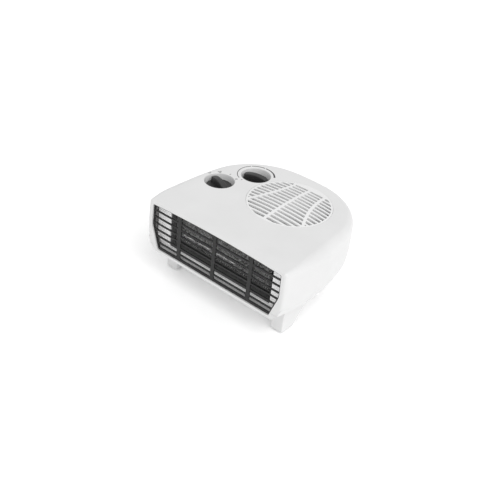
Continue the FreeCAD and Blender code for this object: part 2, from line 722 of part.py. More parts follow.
def make_inlet_grille():
    """Round grille with a crown: bars across, three ribs, and a flat rim on a collar."""
    radius = size["inlet_radius"].value
    crown = size["inlet_crown"].value
    ball_radius = (radius ** 2 + crown ** 2) / (2 * crown)
    top = INLET_RIM_TOP
    bottom = top - size["inlet_bar_depth"].value
    collar_bottom = top - size["inlet_collar_depth"].value
    ball = Part.makeSphere(ball_radius, Vector(FAN.x, FAN.y, top + crown - ball_radius))
    ball.rotate(Vector(FAN.x, FAN.y, top + crown - ball_radius), Vector(1, 0, 0), 90)
    lens = rod(FAN.x, FAN.y, bottom, top + crown + 1, radius + 0.5).common(ball)
    half_bar = size["inlet_bar"].value / 2
    pitch = size["inlet_pitch"].value
    rows_in_front = 8
    rows_behind = 7
    bars = []
    for row in range(-rows_in_front, rows_behind):
        y = FAN.y + (row + 0.5) * pitch
        back = y + half_bar if row < rows_behind - 1 else FAN.y + radius + 1
        bars.append(box(FAN.x - 70, y - half_bar, bottom - 1, FAN.x + 70, back, top + 10))
    bars += inlet_ribs(bottom - 1, top + 10)
    barred = lens.common(union(bars))
    rim = rod(FAN.x, FAN.y, top - RIM_THICKNESS, top, size["inlet_rim"].value)
    collar = rod(FAN.x, FAN.y, collar_bottom, top, radius + COLLAR_WALL)
    rim = rim.fuse(collar).cut(rod(FAN.x, FAN.y, collar_bottom - 1, top + 1, radius))
    new_feature("inlet_grille", rim.fuse(barred))


def inlet_ribs(low, high):
    """A straight middle rib and a curved rib on each side that spreads towards the front."""
    half = size["inlet_rib"].value / 2
    radius = size["inlet_rib_radius"].value
    ribs = [box(FAN.x - half, FAN.y - 70, low, FAN.x + half, FAN.y + 70, high)]
    for side in (-1, 1):
        x = FAN.x + side * (size["inlet_rib_offset"].value + radius)
        y = FAN.y + size["inlet_rib_bend"].value
        ribs.append(rod(x, y, low, high, radius + half).cut(rod(x, y, low - 1, high + 1, radius - half)))
    return ribs


def make_foot(label, side, front_foot):
    """Hollow block foot with a sloping side that faces the middle of the heater."""
    body = new_body(label)
    inner = size["foot_inner"] if front_foot else size["rear_foot_inner"]
    width = size["foot_outer"] - size["foot_inner"]
    edge = size["foot_front"] - size["body_depth"] / 2 if front_foot else size["rear_foot_y"]
    towards = 1 if front_foot else -1
    low = size["pad_height"]
    top = size["base_height"]
    near = edge + size["foot_length"] * towards
    far = near + size["foot_slope"] * towards
    sketch = new_sketch(body, "YZ_Plane", inner if side > 0 else -(inner + width))
    polygon(sketch, [(edge, low), (near, low), (far, top), (edge, top)])
    pad(body, sketch, width)
    room = new_sketch(body, "XY_Plane", top)
    x0 = inner + FOOT_WALL if side > 0 else -(inner + width) + FOOT_WALL
    x1 = x0 + width - 2 * FOOT_WALL
    y0 = edge + FOOT_WALL * towards
    y1 = near - 1.0 * towards
    if towards > 0:
        rectangle(room, x0, y0, x1, y1)
    else:
        rectangle(room, x0, y1, x1, y0)
    pocket(body, room, top - low - 3.0)
    hole = new_sketch(body, "XY_Plane", top)
    x, y = [(x, y) for x, y in FOOT_SCREWS if x * side > 0 and (y < 0) == front_foot][0]
    circle(hole, x, y, PILOT_RADIUS)
    pocket(body, hole, 16.0)
    fillet(body, 1.5, upright)


def make_foot_pads():
    """Four rubber pads, one under each foot."""
    low = size["pad_height"].value
    length = size["foot_length"].value
    pads = []
    for side in (-1, 1):
        front_x = side * (size["foot_inner"].value + size["foot_outer"].value) / 2
        front_y = FRONT + size["foot_front"].value + length / 2
        width = size["foot_outer"].value - size["foot_inner"].value
        rear_x = side * (size["rear_foot_inner"].value + width / 2)
        rear_y = size["rear_foot_y"].value - length / 2
        for x, y in ((front_x, front_y), (rear_x, rear_y)):
            half_x = width / 2 - PAD_MARGIN
            half_y = length / 2 - PAD_MARGIN
            block = box(x - half_x, y - half_y, 0, x + half_x, y + half_y, low)
            pads.append(block.makeFillet(3.0, [edge for edge in block.Edges if upright(edge)]))
    new_feature("foot_pads", Part.makeCompound(pads))


# Fasteners

def screw(x, y, head_z, tip_z, shank, head, head_height):
    """A pan-head screw along Z with a cross slot; the head is on the side away from the tip."""
    up = 1 if tip_z > head_z else -1
    axis = Vector(0, 0, up)
    head_start = Vector(x, y, head_z)
    shape = Part.makeCylinder(head, head_height, head_start, axis)
    rim = [edge for edge in shape.Edges if edge.Closed and abs(edge.CenterOfMass.z - head_z) < 1e-6]
    shape = shape.makeFillet(head_height * 0.45, rim)
    shape = shape.fuse(Part.makeCylinder(shank, abs(tip_z - head_z), head_start, axis))
    depth = head_height * 0.5
    low = head_z - 0.01 if up > 0 else head_z - depth
    slots = [box(x - a, y - b, low, x + a, y + b, low + depth + 0.01)
             for a, b in ((head * 0.6, 0.4), (0.4, head * 0.6))]
    return shape.cut(slots)


def make_screws():
    """Every group of identical screws is one sub-part."""
    boss = BASE + COUNTERBORE_DEPTH
    housing = [screw(x, y, boss - 2.4, SEAM + 20, 1.65, 3.7, 2.4) for x, y in HOUSING_SCREWS]
    new_feature("housing_screws", Part.makeCompound(housing))
    floor = BASE + WALL
    feet = [screw(x, y, floor + 2.2, BASE - 12, 1.65, 3.4, 2.15) for x, y in FOOT_SCREWS]
    new_feature("foot_screws", Part.makeCompound(feet))
    bracket_top = size["stator_bottom"].value + size["stator_height"].value + 1.5
    motor = [screw(FAN.x + dx, FAN.y, bracket_top + 2.45, BASE + 5, 1.65, 3.2, 2.4) for dx in MOTOR_SCREWS]
    new_feature("motor_screws", Part.makeCompound(motor))
    well = size["well_floor"].value
    control = []
    for x, y in CONTROLS:
        for dx in CONTROL_SCREWS:
            control.append(screw(x.value + dx, y.value, well - 0.05, well - 9.0, 1.4, 2.8, 1.3))
    new_feature("control_screws", Part.makeCompound(control))
    clamp_x = size["cord_hole_x"].value
    head_z = CLAMP_TOP + 2.05
    clamp = [screw(clamp_x + dx, CLAMP_Y, head_z, floor + 0.5, 1.4, 2.6, 2.0) for dx in CLAMP_SCREWS]
    new_feature("cord_clamp_screws", Part.makeCompound(clamp))


# Controls

def make_knob(label, x, y, turn):
    """Round disc with a high grip bar across it; the bar has round ends and an arched top."""
    body = new_body(label)
    disc_z = size["well_floor"] + 0.6
    disc_top = disc_z + size["knob_disc"]
    disc = new_sketch(body, "XY_Plane", disc_z)
    circle(disc, 0, 0, size["knob_radius"])
    pad(body, disc, size["knob_disc"])
    fillet(body, 0.5, lambda edge: edge.CenterOfMass.z > disc_z.value + 1)
    grip = new_sketch(body, "XY_Plane", disc_top)
    slot(grip, size["knob_length"] / 2, size["knob_width"] / 2)
    pad(body, grip, size["knob_top"] - disc_top)
    arch = new_sketch(body, "XZ_Plane")
    fall = size["knob_fall"]
    above_arch(arch, size["knob_length"] / 2, size["knob_top"] - fall, fall, size["knob_top"] + 5)
    pocket(body, arch, size["knob_width"] * 2, both_ways=True)
    fillet(body, 1.2, lambda edge: edge.CenterOfMass.z > disc_top.value + 5 and not upright(edge))
    bore = new_sketch(body, "XY_Plane", disc_z)
    circle(bore, 0, 0, size["spindle_radius"] + 0.02)
    pocket(body, bore, SPINDLE_TOP + 0.3 - disc_z, upwards=True)
    place(body, x, y, 0, turn)


def make_spindle(label, x, y):
    """Control spindle between the switch and the knob."""
    body = new_body(label)
    low = size["well_floor"] - 12.0
    sketch = new_sketch(body, "XY_Plane", low)
    circle(sketch, 0, 0, size["spindle_radius"])
    pad(body, sketch, SPINDLE_TOP - low)
    place(body, x, y, 0)


def make_function_switch():
    """Rotary switch block under the function knob."""
    body = new_body("function_switch")
    top = size["well_floor"] - CONTROL_PLATE_GAP
    half = 14.0
    case = new_sketch(body, "XY_Plane", top - SWITCH_DEPTH)
    rectangle(case, -half, -half, half, half)
    pad(body, case, SWITCH_DEPTH)
    fillet(body, 2.5, upright)
    spindle_hole(body, top)
    screw_holes(body, top)
    place(body, *CONTROLS[0])


def spindle_hole(body, top):
    hole = new_sketch(body, "XY_Plane", top)
    circle(hole, 0, 0, size["spindle_radius"] + size["running_fit"])
    pocket(body, hole, 9.3)


def screw_holes(body, top):
    holes = new_sketch(body, "XY_Plane", top)
    for dx in CONTROL_SCREWS:
        circle(holes, dx, 0, 1.45)
    pocket(body, holes, 8.0)


def make_thermostat():
    """Thermostat: insulating block, a bimetal strip below it on a rivet, and its contact screw."""
    body = new_body("thermostat_block")
    top = size["well_floor"] - CONTROL_PLATE_GAP
    case = new_sketch(body, "XY_Plane", top - THERMOSTAT_DEPTH)
    rectangle(case, -13, -15, 13, 15)
    pad(body, case, THERMOSTAT_DEPTH)
    fillet(body, 2.0, upright)
    spindle_hole(body, top)
    screw_holes(body, top)
    place(body, *CONTROLS[1])

    strip = new_body("bimetal_strip")
    block_bottom = top - THERMOSTAT_DEPTH
    rivet = new_sketch(strip, "XY_Plane", block_bottom - 6.0)
    circle(rivet, 0, 10, 2.5)
    pad(strip, rivet, 5.9)
    leaf = new_sketch(strip, "XY_Plane", block_bottom - 6.8)
    rectangle(leaf, -4, -22, 4, 14)
    pad(strip, leaf, 0.8)
    place(strip, *CONTROLS[1])


def make_terminals():
    """Brass blade terminals under the switch and the thermostat."""
    plate = size["well_floor"].value - CONTROL_PLATE_GAP
    blades = [blade(0, dx, dy, plate - SWITCH_DEPTH) for dx in (-9, 9) for dy in (-9, 9)]
    blades += [blade(1, dx, -8, plate - THERMOSTAT_DEPTH) for dx in (-9, 9)]
    new_feature("control_terminals", Part.makeCompound(blades))


def blade(control, dx, dy, top):
    """One blade terminal that hangs below a control."""
    x = CONTROLS[control][0].value + dx
    y = CONTROLS[control][1].value + dy
    return box(x - BLADE_HALF_THICKNESS, y - BLADE_HALF_WIDTH, top - 12.0,
               x + BLADE_HALF_THICKNESS, y + BLADE_HALF_WIDTH, top - 0.05)


# Duct and heating element

def make_air_duct():
    """White baffle plate behind the grille, and the duct behind it that holds the heating element."""
    baffle = new_body("baffle_plate")
    plate_y = size["body_depth"] / 2 - size["baffle_depth"]
    plate = new_sketch(baffle, "XZ_Plane", plate_y)
    low = size["base_height"] + size["wall"] + 0.3
    wide = size["baffle_half"]
    half = size["mouth_half"]
    polygon(plate, [(-104, low), (104, low), (wide, 58), (wide, 116.5), (60, 118.5),
                    (-60, 118.5), (-wide, 116.5), (-wide, 58)])
    rectangle(plate, -half, size["mouth_bottom"], half, size["mouth_top"])
    pad(baffle, plate, BAFFLE_THICKNESS, downwards=True)
    duct = new_body("air_duct")
    tube = new_sketch(duct, "XZ_Plane", size["duct_back"])
    rectangle(tube, -half - DUCT_WALL, size["mouth_bottom"] - DUCT_WALL,
              half + DUCT_WALL, size["mouth_top"] + DUCT_WALL)
    rectangle(tube, -half, size["mouth_bottom"], half, size["mouth_top"])
    pad(duct, tube, plate_y - BAFFLE_THICKNESS - 0.05 - size["duct_back"])


def make_element():
    """Mica boards between two end plates, with a zigzag ribbon in each gap."""
    first = size["board_first"].value
    pitch = size["board_pitch"].value
    half = size["mouth_half"].value - 4.0
    low_end = size["mouth_bottom"].value + 0.2
    high_end = size["mouth_top"].value - 0.2
    ends = [box(side * half - 0.6, ELEMENT_FRONT, low_end, side * half + 0.6, ELEMENT_BACK, high_end)
            for side in (-1, 1)]
    new_feature("element_end_plates", Part.makeCompound(ends))
    boards = []
    for i in range(BOARDS):
        low = first + i * pitch - BOARD_THICKNESS / 2
        boards.append(box(-half + 0.65, ELEMENT_FRONT + 1, low,
                          half - 0.65, ELEMENT_BACK - 1, low + BOARD_THICKNESS))
    new_feature("mica_boards", Part.makeCompound(boards))
    low = [ribbon(first + i * pitch, half) for i in range(0, 2)]
    high = [ribbon(first + i * pitch, half) for i in range(2, BOARDS - 1)]
    new_feature("heating_ribbon_low", Part.makeCompound(low))
    new_feature("heating_ribbon_high", Part.makeCompound(high))
    sleeve_z = first + pitch + 1.2
    sleeve = Part.makeCylinder(1.3, 95, Vector(-73, ELEMENT_FRONT - 0.6, sleeve_z), Vector(1, 0, 0))
    new_feature("thermal_fuse_sleeve", sleeve)
    cut_out = Part.makeCylinder(8.0, 7.0, Vector(70, ELEMENT_BACK + 1.2, 85), Vector(0, 1, 0))
    base = box(60, ELEMENT_BACK + 0.2, 78, half + 0.6, ELEMENT_BACK + 1.2, 92)
    tab_y = ELEMENT_BACK + 8.2
    tabs = [box(70 + dx - 2, tab_y, 84.6, 70 + dx + 2, tab_y + 7.8, 85.4) for dx in (-4, 4)]
    new_feature("thermal_cutout", cut_out.fuse([base] + tabs))


def ribbon(board_z, half):
    """Zigzag ribbon that fills the gap above one board."""
    low = board_z + 0.6
    high = board_z + size["board_pitch"].value - 0.6
    thick = 0.35
    step = 4.0
    reach = half - 6.0
    count = int(2 * reach / step)
    path = [(-reach + i * step, low if i % 2 else high - thick) for i in range(count + 1)]
    outline = [Vector(x, 0, z + thick) for x, z in path] + [Vector(x, 0, z) for x, z in reversed(path)]
    face = Part.Face(Part.makePolygon(outline + outline[:1]))
    face.translate(Vector(0, ELEMENT_FRONT + 6, 0))
    return face.extrude(Vector(0, 5.0, 0))


def make_fan_scroll():
    """Spiral wall around the impeller that opens into the duct."""
    low = BASE + WALL + 0.2
    high = size["well_floor"].value - 3.4
    right_x = FAN.x + 69.0
    duct_y = -size["duct_back"].value + 0.4
    outline = [
        Part.LineSegment(Vector(right_x, duct_y, low), Vector(right_x, FAN.y, low)).toShape(),
        arc(Vector(FAN.x, FAN.y, low), 69.0, 0, math.pi / 2),
        arc(Vector(FAN.x, FAN.y + 3, low), 66.0, math.pi / 2, math.pi),
        arc(Vector(FAN.x - 3, FAN.y + 3, low), 63.0, math.pi, math.radians(222)),
    ]
    tongue = outline[-1].valueAt(outline[-1].LastParameter)
    knee = Vector(-size["mouth_half"].value + 0.9, duct_y - 0.05, low)
    outline.append(Part.LineSegment(tongue, knee).toShape())
    walls = []
    for edge in outline:
        walls.append(thick_wall(edge, SCROLL_WALL, high - low))
    joints = [rod(tongue.x, tongue.y, low, high, SCROLL_WALL / 2)]
    front = box(-150, -150, 0, 150, duct_y, 200)
    scroll = union(walls + joints).cut(front)
    new_feature("fan_scroll", scroll)


def thick_wall(edge, thick, height):
    """An upright wall along a plan edge."""
    if isinstance(edge.Curve, Part.Circle):
        centre = edge.Curve.Center
        radius = edge.Curve.Radius
        start = edge.FirstParameter
        end = edge.LastParameter
        sides = [arc(centre, radius - thick / 2, start, end), arc(centre, radius + thick / 2, start, end)]
    else:
        a, b = [vertex.Point for vertex in edge.Vertexes]
        across = Vector(a.y - b.y, b.x - a.x, 0).normalize() * thick / 2
        sides = [Part.makeLine(a - across, b - across), Part.makeLine(a + across, b + across)]
    starts = [side.valueAt(side.FirstParameter) for side in sides]
    stops = [side.valueAt(side.LastParameter) for side in sides]
    caps = [Part.makeLine(*starts), Part.makeLine(*stops)]
    face = Part.Face(Part.Wire(Part.__sortEdges__(sides + caps)))
    return face.extrude(Vector(0, 0, height))


# Motor and impeller

def make_impeller():
    """Centrifugal impeller: back plate, hub, curved blades and a top ring."""
    body = new_body("impeller")
    bottom = size["impeller_bottom"]
    radius = size["impeller_radius"]
    height = size["impeller_height"]
    profile = new_sketch(body, "XZ_Plane")
    bore = size["shaft_radius"] + 0.02
    polygon(profile, [(bore, bottom), (radius, bottom), (radius, bottom + 1.8), (24, bottom + 1.8),
                      (10, bottom + 9), (8, bottom + 16), (bore, bottom + 16)])
    revolve(body, profile)
    blade = new_sketch(body, "XY_Plane", bottom + 1.0)
    polygon(blade, [(38, -1), (46, 2.2), (55, 9.4), (54.3, 10.6), (45.3, 3.6), (38, 0.8)])
    blades = pad(body, blade, height - 2.0)
    ring_pattern(body, blades, 24)
    ring = new_sketch(body, "XY_Plane", bottom + height - 2.5)
    circle(ring, 0, 0, radius)
    circle(ring, 0, 0, radius - 4.5)
    pad(body, ring, 2.5)
    place(body, size["fan_x"], size["fan_y"], 0)


def fan_part(label, outline):
    """A turned piece of the fan's shaft line."""
    body = new_body(label)
    profile = new_sketch(body, "XZ_Plane")
    polygon(profile, outline)
    revolve(body, profile)
    place(body, size["fan_x"], size["fan_y"], 0)
    return body


def make_turned_motor_parts():
    """The motor's round parts on the fan's axis: shaft, rotor, two bushes and the impeller's clip."""
    low = size["stator_bottom"]
    high = low + size["stator_height"]
    shaft = size["shaft_radius"]
    rotor = size["rotor_radius"]
    fan_part("motor_shaft", [(0, low - 10), (shaft, low - 10), (shaft, size["impeller_bottom"] + 17.5),
                             (0, size["impeller_bottom"] + 17.5)])
    fan_part("rotor", [(shaft + 0.02, low - 0.5), (rotor, low - 0.5),
                       (rotor, high + 0.5), (shaft + 0.02, high + 0.5)])
    bush = shaft + size["running_fit"]
    fan_part("lower_bush", [(bush, low - 10), (5, low - 10), (5, low - 4), (bush, low - 4)])
    fan_part("upper_bush", [(bush, high + 4), (5, high + 4), (5, high + 10), (bush, high + 10)])
    clip_z = size["impeller_bottom"] + 16.1
    fan_part("impeller_clip", [(shaft + 0.02, clip_z), (6, clip_z),
                               (6, clip_z + 0.8), (shaft + 0.02, clip_z + 0.8)])


def make_stator():
    """Shaded-pole stack of sheets around the rotor, and the coil on its rear limb."""
    low = size["stator_bottom"]
    high = low + size["stator_height"]
    stator = new_body("stator")
    stack = new_sketch(stator, "XY_Plane", low)
    rectangle(stack, -31, -24, 31, 50)
    circle(stack, 0, 0, size["rotor_radius"] + 0.5)
    rectangle(stack, -19, 22, 19, 38)
    for dx in MOTOR_SCREWS:
        circle(stack, dx, 0, SCREW_HOLE_RADIUS)
    pad(stator, stack, size["stator_height"])
    place(stator, size["fan_x"], size["fan_y"], 0)

    coil = new_body("motor_coil")
    section = new_sketch(coil, "YZ_Plane")
    rectangle(section, 23, low - 7, 57, high + 7)
    rectangle(section, 37.7, low - 0.3, 50.3, high + 0.3)
    pad(coil, section, 34.0, both_ways=True)
    fillet(coil, 4.0, lambda edge: edge.Length > 30 and not 30 < edge.CenterOfMass.y < 52)
    place(coil, size["fan_x"], size["fan_y"], 0)


def make_brackets():
    """Two bridges that hold the bushes above and below the stack."""
    low = size["stator_bottom"]
    high = low + size["stator_height"]
    for label, face, away in (("lower_bracket", low, -1), ("upper_bracket", high, 1)):
        bracket = new_body(label)
        profile = new_sketch(bracket, "XZ_Plane")
        near = face + 0.05 * away
        flange = face + 1.5 * away
        bridge = face + 6.5 * away
        outside = face + 8 * away
        polygon(profile, [(-31, near), (-20, near), (-14, bridge), (14, bridge), (20, near), (31, near),
                          (31, flange), (21, flange), (15, outside), (-15, outside),
                          (-21, flange), (-31, flange)])
        pad(bracket, profile, 13.0, both_ways=True)
        hole = new_sketch(bracket, "XY_Plane", high + 20)
        circle(hole, 0, 0, 5.02)
        for dx in MOTOR_SCREWS:
            circle(hole, dx, 0, SCREW_HOLE_RADIUS)
        pocket(bracket, hole)
        place(bracket, size["fan_x"], size["fan_y"], 0)


# Mains entry

def make_cord_entry():
    """Gland in the back wall, clamp bar behind it and the terminal block."""
    x = size["cord_hole_x"].value
    start = Vector(x, BACK - 17.0, SEAM)
    back = Vector(0, 1, 0)
    tube = Part.makeCylinder(size["cord_hole_radius"].value - 0.1, 15.5, start, back)
    flange = Part.makeCylinder(6.0, 1.8, start, back)
    bore = Part.makeCylinder(3.4, 40, start - back * 10, back)
    new_feature("cord_gland", tube.fuse(flange).cut(bore))
    floor = BASE + WALL
    bar = box(x - 11, CLAMP_Y - 4, CLAMP_TOP - 3, x + 11, CLAMP_Y + 4, CLAMP_TOP)
    legs = [box(x + dx - 3, CLAMP_Y - 4, floor + 0.1, x + dx + 3, CLAMP_Y + 4, CLAMP_TOP)
            for dx in CLAMP_SCREWS]
    clamp = bar.fuse(legs)
    clamp = clamp.cut([rod(x + dx, CLAMP_Y, floor - 1, CLAMP_TOP + 1, 1.5) for dx in CLAMP_SCREWS])
    new_feature("cord_clamp", clamp)

    left = -75.0
    front = 56.0
    block = box(left, front, floor + 0.1, left + 24, front + 14, floor + 14)
    holes = [Part.makeCylinder(2.2, 30, Vector(left + 4.5 + 7.5 * i, front - 5, floor + 6), Vector(0, 1, 0))
             for i in range(3)]
    screws = [rod(left + 4.5 + 7.5 * i, front + 7, floor + 6, floor + 20, 2.0) for i in range(3)]
    new_feature("terminal_block", block.cut(holes + screws))


def check_and_write():
    """Stop if anything failed; otherwise write one STEP file for each sub-part."""
    doc.recompute()
    for thing in doc.Objects:
        if "Invalid" in thing.State or "Error" in thing.State:
            raise RuntimeError("%s failed: %s" % (thing.Label, thing.State))
    for part in parts:
        if part.Shape.isNull() or not part.Shape.isValid() or not part.Shape.Solids:
            raise RuntimeError("%s has no sound solid" % part.Label)
    os.makedirs("parts", exist_ok=True)
    for part in parts:
        part.Shape.exportStep("parts/%s.step" % part.Label)
        volume = part.Shape.Volume / 1000
        print("%-22s %8.1f cm3  %d solid(s)" % (part.Label, volume, len(part.Shape.Solids)))


make_covers()
make_outlet_grille()
make_inlet_grille()
for side, word in ((-1, "left"), (1, "right")):
    make_foot("front_foot_" + word, side, True)
    make_foot("rear_foot_" + word, side, False)
make_foot_pads()
make_screws()
make_knob("function_knob", *CONTROLS[0], 160)
make_knob("thermostat_knob", *CONTROLS[1], 195)
make_spindle("function_spindle", *CONTROLS[0])
make_spindle("thermostat_spindle", *CONTROLS[1])
make_function_switch()
make_thermostat()
make_terminals()
make_air_duct()
make_element()
make_fan_scroll()
make_impeller()
make_turned_motor_parts()
make_stator()
make_brackets()
make_cord_entry()
check_and_write()
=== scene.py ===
"""Looks of the fan convector heater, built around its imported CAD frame."""

import json
import math

import bmesh
import bpy
from mathutils import Matrix, Vector
from mathutils.bvhtree import BVHTree


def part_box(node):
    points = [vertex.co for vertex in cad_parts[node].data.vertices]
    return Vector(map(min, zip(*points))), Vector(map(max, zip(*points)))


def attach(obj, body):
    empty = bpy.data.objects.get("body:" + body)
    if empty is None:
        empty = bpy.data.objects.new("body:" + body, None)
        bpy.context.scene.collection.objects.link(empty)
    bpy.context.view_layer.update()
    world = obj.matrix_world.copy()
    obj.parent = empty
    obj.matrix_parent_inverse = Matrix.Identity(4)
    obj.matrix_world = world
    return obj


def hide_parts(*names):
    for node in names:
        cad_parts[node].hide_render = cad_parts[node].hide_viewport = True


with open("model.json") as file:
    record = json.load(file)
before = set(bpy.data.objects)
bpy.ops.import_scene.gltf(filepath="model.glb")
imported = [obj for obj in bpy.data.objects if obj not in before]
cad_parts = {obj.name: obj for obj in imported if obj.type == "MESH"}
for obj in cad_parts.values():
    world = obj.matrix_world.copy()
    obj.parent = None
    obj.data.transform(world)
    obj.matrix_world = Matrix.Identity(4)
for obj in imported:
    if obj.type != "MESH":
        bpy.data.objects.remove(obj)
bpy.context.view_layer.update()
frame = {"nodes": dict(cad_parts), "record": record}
nodes = frame["nodes"]
MM = 0.001
NOISE_LOW = 0.3
NOISE_HIGH = 0.7


# ---------------------------------------------------------------- materials

def new_material(name):
    """A new material with its node tree, its shader and a source of coordinates."""
    material = bpy.data.materials.new(name)
    material.use_nodes = True
    tree = material.node_tree
    shader = tree.nodes["Principled BSDF"]
    place = tree.nodes.new("ShaderNodeTexCoord")
    return material, tree, shader, place


def noise(tree, place, scale, detail=3.0):
    """A noise texture in the object's own space."""
    node = tree.nodes.new("ShaderNodeTexNoise")
    node.inputs["Scale"].default_value = scale
    node.inputs["Detail"].default_value = detail
    tree.links.new(place.outputs["Object"], node.inputs["Vector"])
    return node.outputs["Fac"]


def ramp(tree, value, low, high):
    """Maps a noise value to a range of colours."""
    node = tree.nodes.new("ShaderNodeValToRGB")
    node.color_ramp.elements[0].position = NOISE_LOW
    node.color_ramp.elements[0].color = (*low, 1)
    node.color_ramp.elements[1].position = NOISE_HIGH
    node.color_ramp.elements[1].color = (*high, 1)
    tree.links.new(value, node.inputs["Fac"])
    return node.outputs["Color"]


def span(tree, value, low, high):
    """Maps a noise value to a range of numbers."""
    node = tree.nodes.new("ShaderNodeMapRange")
    node.inputs["From Min"].default_value = NOISE_LOW
    node.inputs["From Max"].default_value = NOISE_HIGH
    node.inputs["To Min"].default_value = low
    node.inputs["To Max"].default_value = high
    tree.links.new(value, node.inputs["Value"])
    return node.outputs["Result"]


def bump(tree, shader, value, strength, height):
    """Raises the surface by a noise value."""
    node = tree.nodes.new("ShaderNodeBump")
    node.inputs["Strength"].default_value = strength
    node.inputs["Distance"].default_value = height
    tree.links.new(value, node.inputs["Height"])
    tree.links.new(node.outputs["Normal"], shader.inputs["Normal"])


def moulded(name, dark, light, rough, metallic=0.0):
    """A moulded or rolled surface: a slight drift of tone and gloss, and a fine grain."""
    drift_scale = 22.0
    grain_scale = 900.0
    gloss_drift = 0.04
    material, tree, shader, place = new_material(name)
    drift = noise(tree, place, drift_scale)
    grain = noise(tree, place, grain_scale, 2.0)
    tree.links.new(ramp(tree, drift, dark, light), shader.inputs["Base Color"])
    tree.links.new(span(tree, grain, rough - gloss_drift, rough + gloss_drift), shader.inputs["Roughness"])
    bump(tree, shader, grain, 0.25, 0.02 * MM)
    shader.inputs["Metallic"].default_value = metallic
    return material


def mottled(name, dark, light, scale, stretch=1.0, metallic=0.0):
    """A speckled surface whose spots may be drawn out along X, such as braid or scorched metal."""
    material, tree, shader, place = new_material(name)
    drawn_out = tree.nodes.new("ShaderNodeMapping")
    drawn_out.inputs["Scale"].default_value = (1.0 / stretch, 1.0, 1.0)
    tree.links.new(place.outputs["Object"], drawn_out.inputs["Vector"])
    spots = tree.nodes.new("ShaderNodeTexNoise")
    spots.inputs["Scale"].default_value = scale
    spots.inputs["Detail"].default_value = 1.0
    tree.links.new(drawn_out.outputs["Vector"], spots.inputs["Vector"])
    tree.links.new(ramp(tree, spots.outputs["Fac"], dark, light), shader.inputs["Base Color"])
    tree.links.new(span(tree, spots.outputs["Fac"], 0.5, 0.7), shader.inputs["Roughness"])
    bump(tree, shader, spots.outputs["Fac"], 0.5, 0.1 * MM)
    shader.inputs["Metallic"].default_value = metallic
    return material


def grey(level):
    """A neutral colour."""
    return (level, level, level)


materials = {
    "white_plastic": moulded("white_plastic", grey(0.695), grey(0.72), 0.32),
    "grille_plastic": moulded("grille_plastic", grey(0.009), grey(0.012), 0.6),
    "knob_plastic": moulded("knob_plastic", grey(0.020), grey(0.028), 0.42),
    "inlet_white": moulded("inlet_white", grey(0.76), grey(0.79), 0.34),
    # The baffle's white is lighter than white_plastic: painted light for a baffle in shade behind the
    # grille.
    "baffle_painted_light": moulded("baffle_painted_light", grey(0.94), grey(0.96), 0.3),
    "rubber": moulded("rubber", grey(0.02), grey(0.03), 0.8),
    "zinc_steel": moulded("zinc_steel", grey(0.50), grey(0.58), 0.35, metallic=1.0),
    "shaft_steel": moulded("shaft_steel", grey(0.55), grey(0.62), 0.22, metallic=1.0),
    "lamination_steel": moulded("lamination_steel", grey(0.25), grey(0.32), 0.45, metallic=1.0),
    "coil_tape": moulded("coil_tape", (0.45, 0.30, 0.05), (0.55, 0.38, 0.08), 0.45),
    "bush_bronze": moulded("bush_bronze", (0.50, 0.32, 0.16), (0.56, 0.38, 0.20), 0.4, metallic=1.0),
    "mica": moulded("mica", grey(0.15), grey(0.20), 0.5),
    "heating_alloy": mottled("heating_alloy", grey(0.20), grey(0.95), 330.0, metallic=0.3),
    "sleeve_glass_fibre": mottled("sleeve_glass_fibre", grey(0.10), grey(0.95), 420.0, stretch=2.2),
    "brass": moulded("brass", (0.55, 0.42, 0.16), (0.62, 0.48, 0.20), 0.35, metallic=1.0),
    "phenolic": moulded("phenolic", (0.03, 0.02, 0.015), (0.04, 0.03, 0.02), 0.5),
    "fan_plastic": moulded("fan_plastic", grey(0.70), grey(0.74), 0.45),
    "scroll_plastic": moulded("scroll_plastic", grey(0.17), grey(0.20), 0.5),
    "terminal_nylon": moulded("terminal_nylon", grey(0.6), grey(0.66), 0.5),
}


# Strength of the baffle's glow: painted light, not a lamp.
BAFFLE_PAINTED_GLOW = 0.14


def slot_of(node):
    """The material slot that the record gives a node."""
    for part in frame["record"]["subparts"]:
        if part["node"] == node:
            return part["material_slot"]
    return None


def add_painted_glow(material, strength):
    """Painted light: a faint white glow, for a surface that the studio lights hardly reach."""
    shader = material.node_tree.nodes["Principled BSDF"]
    shader.inputs["Emission Color"].default_value = (1, 1, 1, 1)
    shader.inputs["Emission Strength"].default_value = strength


def finish_nodes():
    """Gives each carried-over CAD node the material of its slot, and the baffle its own whiter, glowing
    white: painted light on a baffle that lies in shade.
    """
    for name, item in nodes.items():
        item.data.materials.clear()
        item.data.materials.append(materials[slot_of(name)])
    nodes["baffle_plate"].data.materials[0] = materials["baffle_painted_light"]
    add_painted_glow(materials["baffle_painted_light"], BAFFLE_PAINTED_GLOW)


finish_nodes()


# ---------------------------------------------------------------- mesh helpers

SHARP_ANGLE = 38.0


def add_piece(name, bm, slot, body, *replaced, finish=None):
    """A finished piece from a bmesh: smooth but for its sharp edges, on its body, in the material of its
    slot or of its given finish.
    """
    bmesh.ops.recalc_face_normals(bm, faces=bm.faces)
    mesh = bpy.data.meshes.new(name)
    bm.to_mesh(mesh)
    bm.free()
    mesh.materials.append(materials[finish or slot])
    mesh.shade_smooth()
    mesh.set_sharp_from_angle(angle=math.radians(SHARP_ANGLE))
    piece = bpy.data.objects.new(name, mesh)
    bpy.context.scene.collection.objects.link(piece)
    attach(piece, body)
    if replaced:
        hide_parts(*replaced)


